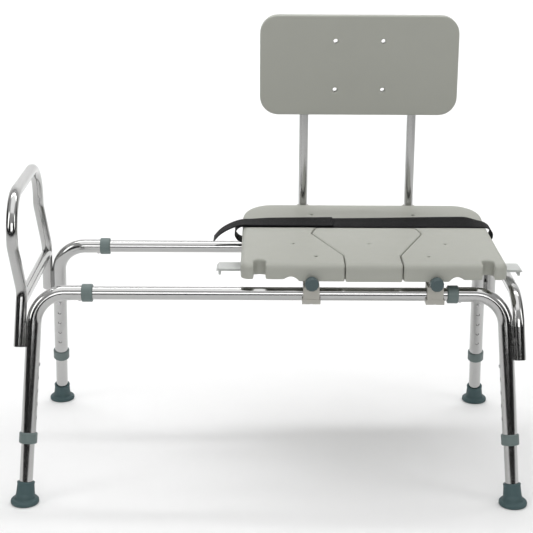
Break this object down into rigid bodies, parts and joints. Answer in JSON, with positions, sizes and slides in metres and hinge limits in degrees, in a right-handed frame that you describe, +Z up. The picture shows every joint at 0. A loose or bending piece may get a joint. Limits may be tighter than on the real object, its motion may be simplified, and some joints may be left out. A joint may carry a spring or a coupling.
{
  "type": "sliding bath transfer bench",
  "caption": "Aluminium bath transfer bench with telescoping legs, a grab rail, and a moulded sliding seat with a lift-out centre piece, safety strap, end latches and a removable backrest.",
  "frame": {"origin": "on the floor, under the middle of the bench's overall box", "axes": "+X along the rails to the end with the low arch, +Y to the side with the backrest, +Z up"},
  "size_m": [0.9956, 0.576, 0.87],
  "materials": {
    "tube_aluminium": "polished anodised tube",
    "collar_plastic": "moulded satin",
    "foot_rubber": "matt rubber",
    "seat_plastic": "moulded satin, fine grain",
    "slide_plastic": "moulded satin",
    "knob_plastic": "moulded satin",
    "latch_plastic": "milky translucent",
    "strap_webbing": "woven webbing",
    "clip_steel": "plain steel"
  },
  "bodies": {
    "frame": {"front_rail": "tube_aluminium", "rear_rail": "tube_aluminium", "corner_tube_fl": "tube_aluminium", "corner_tube_fr": "tube_aluminium", "corner_tube_rl": "tube_aluminium", "corner_tube_rr": "tube_aluminium", "rail_collars": "collar_plastic", "leg_collars": "collar_plastic", "side_handle": "tube_aluminium", "handle_crossbar": "tube_aluminium", "end_arch": "tube_aluminium", "weld_beads": "tube_aluminium", "tube_end_plugs": "tube_aluminium"},
    "seat_carriage": {"seat": "seat_plastic", "safety_strap": "strap_webbing", "strap_anchors": "clip_steel", "slide_block_fl": "slide_plastic", "slide_block_fr": "slide_plastic", "slide_block_rl": "slide_plastic", "slide_block_rr": "slide_plastic", "slide_caps": "slide_plastic", "slide_cap_screws": "clip_steel", "latch_brackets": "slide_plastic", "latch_pins": "clip_steel", "backrest_socket_l": "slide_plastic", "backrest_socket_r": "slide_plastic"},
    "centre_piece": {"seat_centre_piece": "seat_plastic"},
    "backrest": {"backrest_panel": "seat_plastic", "backrest_post_l": "tube_aluminium", "backrest_post_r": "tube_aluminium", "post_clips": "slide_plastic", "post_clip_screws": "clip_steel"},
    "latch_left": {"latch_left": "latch_plastic"},
    "latch_right": {"latch_right": "latch_plastic"},
    "leg_fl": {"leg_tube_fl": "tube_aluminium", "foot_fl": "foot_rubber"},
    "leg_button_fl": {"leg_clip_fl": "clip_steel"},
    "rail_button_fl": {"rail_clip_fl": "clip_steel"},
    "knob_fl": {"knob_fl": "knob_plastic"},
    "leg_fr": {"leg_tube_fr": "tube_aluminium", "foot_fr": "foot_rubber"},
    "leg_button_fr": {"leg_clip_fr": "clip_steel"},
    "rail_button_fr": {"rail_clip_fr": "clip_steel"},
    "knob_fr": {"knob_fr": "knob_plastic"},
    "leg_rl": {"leg_tube_rl": "tube_aluminium", "foot_rl": "foot_rubber"},
    "leg_button_rl": {"leg_clip_rl": "clip_steel"},
    "rail_button_rl": {"rail_clip_rl": "clip_steel"},
    "knob_rl": {"knob_rl": "knob_plastic"},
    "leg_rr": {"leg_tube_rr": "tube_aluminium", "foot_rr": "foot_rubber"},
    "leg_button_rr": {"leg_clip_rr": "clip_steel"},
    "rail_button_rr": {"rail_clip_rr": "clip_steel"},
    "knob_rr": {"knob_rr": "knob_plastic"},
    "post_button_l": {"post_snap_clip_l": "clip_steel"},
    "post_button_r": {"post_snap_clip_r": "clip_steel"}
  },
  "joints": [
    {"name": "leg_slide_fl", "type": "slide", "parent": "frame", "child": "leg_fl", "axis": [-0.0521, -0.2504, -0.9668], "range_m": [0, 0.1016], "deforming": ["leg_clip_fl"]},
    {"name": "leg_button_press_fl", "type": "slide", "parent": "leg_fl", "child": "leg_button_fl", "axis": [0.9986, -0.0131, -0.0504], "range_m": [-0.004, 0], "stiffness_N_per_m": 1500},
    {"name": "rail_button_press_fl", "type": "slide", "parent": "frame", "child": "rail_button_fl", "axis": [0, 0, -1], "range_m": [-0.004, 0], "stiffness_N_per_m": 1500},
    {"name": "knob_turn_fl", "type": "hinge", "parent": "seat_carriage", "child": "knob_fl", "pos_m": [0.0785, -0.19, 0.42], "axis": [0, -1, 0], "continuous": true},
    {"name": "leg_slide_fr", "type": "slide", "parent": "frame", "child": "leg_fr", "axis": [0.0521, -0.2504, -0.9668], "range_m": [0, 0.1016], "deforming": ["leg_clip_fr"]},
    {"name": "leg_button_press_fr", "type": "slide", "parent": "leg_fr", "child": "leg_button_fr", "axis": [-0.9986, -0.0131, -0.0504], "range_m": [-0.004, 0], "stiffness_N_per_m": 1500},
    {"name": "rail_button_press_fr", "type": "slide", "parent": "frame", "child": "rail_button_fr", "axis": [0, 0, -1], "range_m": [-0.004, 0], "stiffness_N_per_m": 1500},
    {"name": "knob_turn_fr", "type": "hinge", "parent": "seat_carriage", "child": "knob_fr", "pos_m": [0.3135, -0.19, 0.42], "axis": [0, -1, 0], "continuous": true},
    {"name": "leg_slide_rl", "type": "slide", "parent": "frame", "child": "leg_rl", "axis": [-0.0521, 0.2504, -0.9668], "range_m": [0, 0.1016], "deforming": ["leg_clip_rl"]},
    {"name": "leg_button_press_rl", "type": "slide", "parent": "leg_rl", "child": "leg_button_rl", "axis": [-0.0135, -0.9682, -0.25], "range_m": [-0.004, 0], "stiffness_N_per_m": 1500},
    {"name": "rail_button_press_rl", "type": "slide", "parent": "frame", "child": "rail_button_rl", "axis": [0, 0, -1], "range_m": [-0.004, 0], "stiffness_N_per_m": 1500},
    {"name": "knob_turn_rl", "type": "hinge", "parent": "seat_carriage", "child": "knob_rl", "pos_m": [0.0785, 0.19, 0.42], "axis": [0, -1, 0], "continuous": true},
    {"name": "leg_slide_rr", "type": "slide", "parent": "frame", "child": "leg_rr", "axis": [0.0521, 0.2504, -0.9668], "range_m": [0, 0.1016], "deforming": ["leg_clip_rr"]},
    {"name": "leg_button_press_rr", "type": "slide", "parent": "leg_rr", "child": "leg_button_rr", "axis": [0.0135, -0.9682, -0.25], "range_m": [-0.004, 0], "stiffness_N_per_m": 1500},
    {"name": "rail_button_press_rr", "type": "slide", "parent": "frame", "child": "rail_button_rr", "axis": [0, 0, -1], "range_m": [-0.004, 0], "stiffness_N_per_m": 1500},
    {"name": "knob_turn_rr", "type": "hinge", "parent": "seat_carriage", "child": "knob_rr", "pos_m": [0.3135, 0.19, 0.42], "axis": [0, -1, 0], "continuous": true},
    {"name": "seat_slide", "type": "slide", "parent": "frame", "child": "seat_carriage", "axis": [1, 0, 0], "range_m": [-0.392, 0]},
    {"name": "centre_piece_lift", "type": "slide", "parent": "seat_carriage", "child": "centre_piece", "axis": [0, 0, 1], "range_m": [0, 0.08]},
    {"name": "backrest_lift", "type": "slide", "parent": "seat_carriage", "child": "backrest", "axis": [0, 0, 1], "range_m": [0, 0.06], "deforming": ["post_snap_clip_l", "post_snap_clip_r"]},
    {"name": "post_button_press_l", "type": "slide", "parent": "backrest", "child": "post_button_l", "axis": [0, 1, 0], "range_m": [-0.004, 0], "stiffness_N_per_m": 1500},
    {"name": "post_button_press_r", "type": "slide", "parent": "backrest", "child": "post_button_r", "axis": [0, 1, 0], "range_m": [-0.004, 0], "stiffness_N_per_m": 1500},
    {"name": "latch_left_pivot", "type": "hinge", "parent": "seat_carriage", "child": "latch_left", "pos_m": [-0.048, -0.05, 0.41], "axis": [0, 1, 0], "range_deg": [-12, 30]},
    {"name": "latch_right_pivot", "type": "hinge", "parent": "seat_carriage", "child": "latch_right", "pos_m": [0.44, -0.05, 0.41], "axis": [0, -1, 0], "range_deg": [-12, 30]}
  ]
}
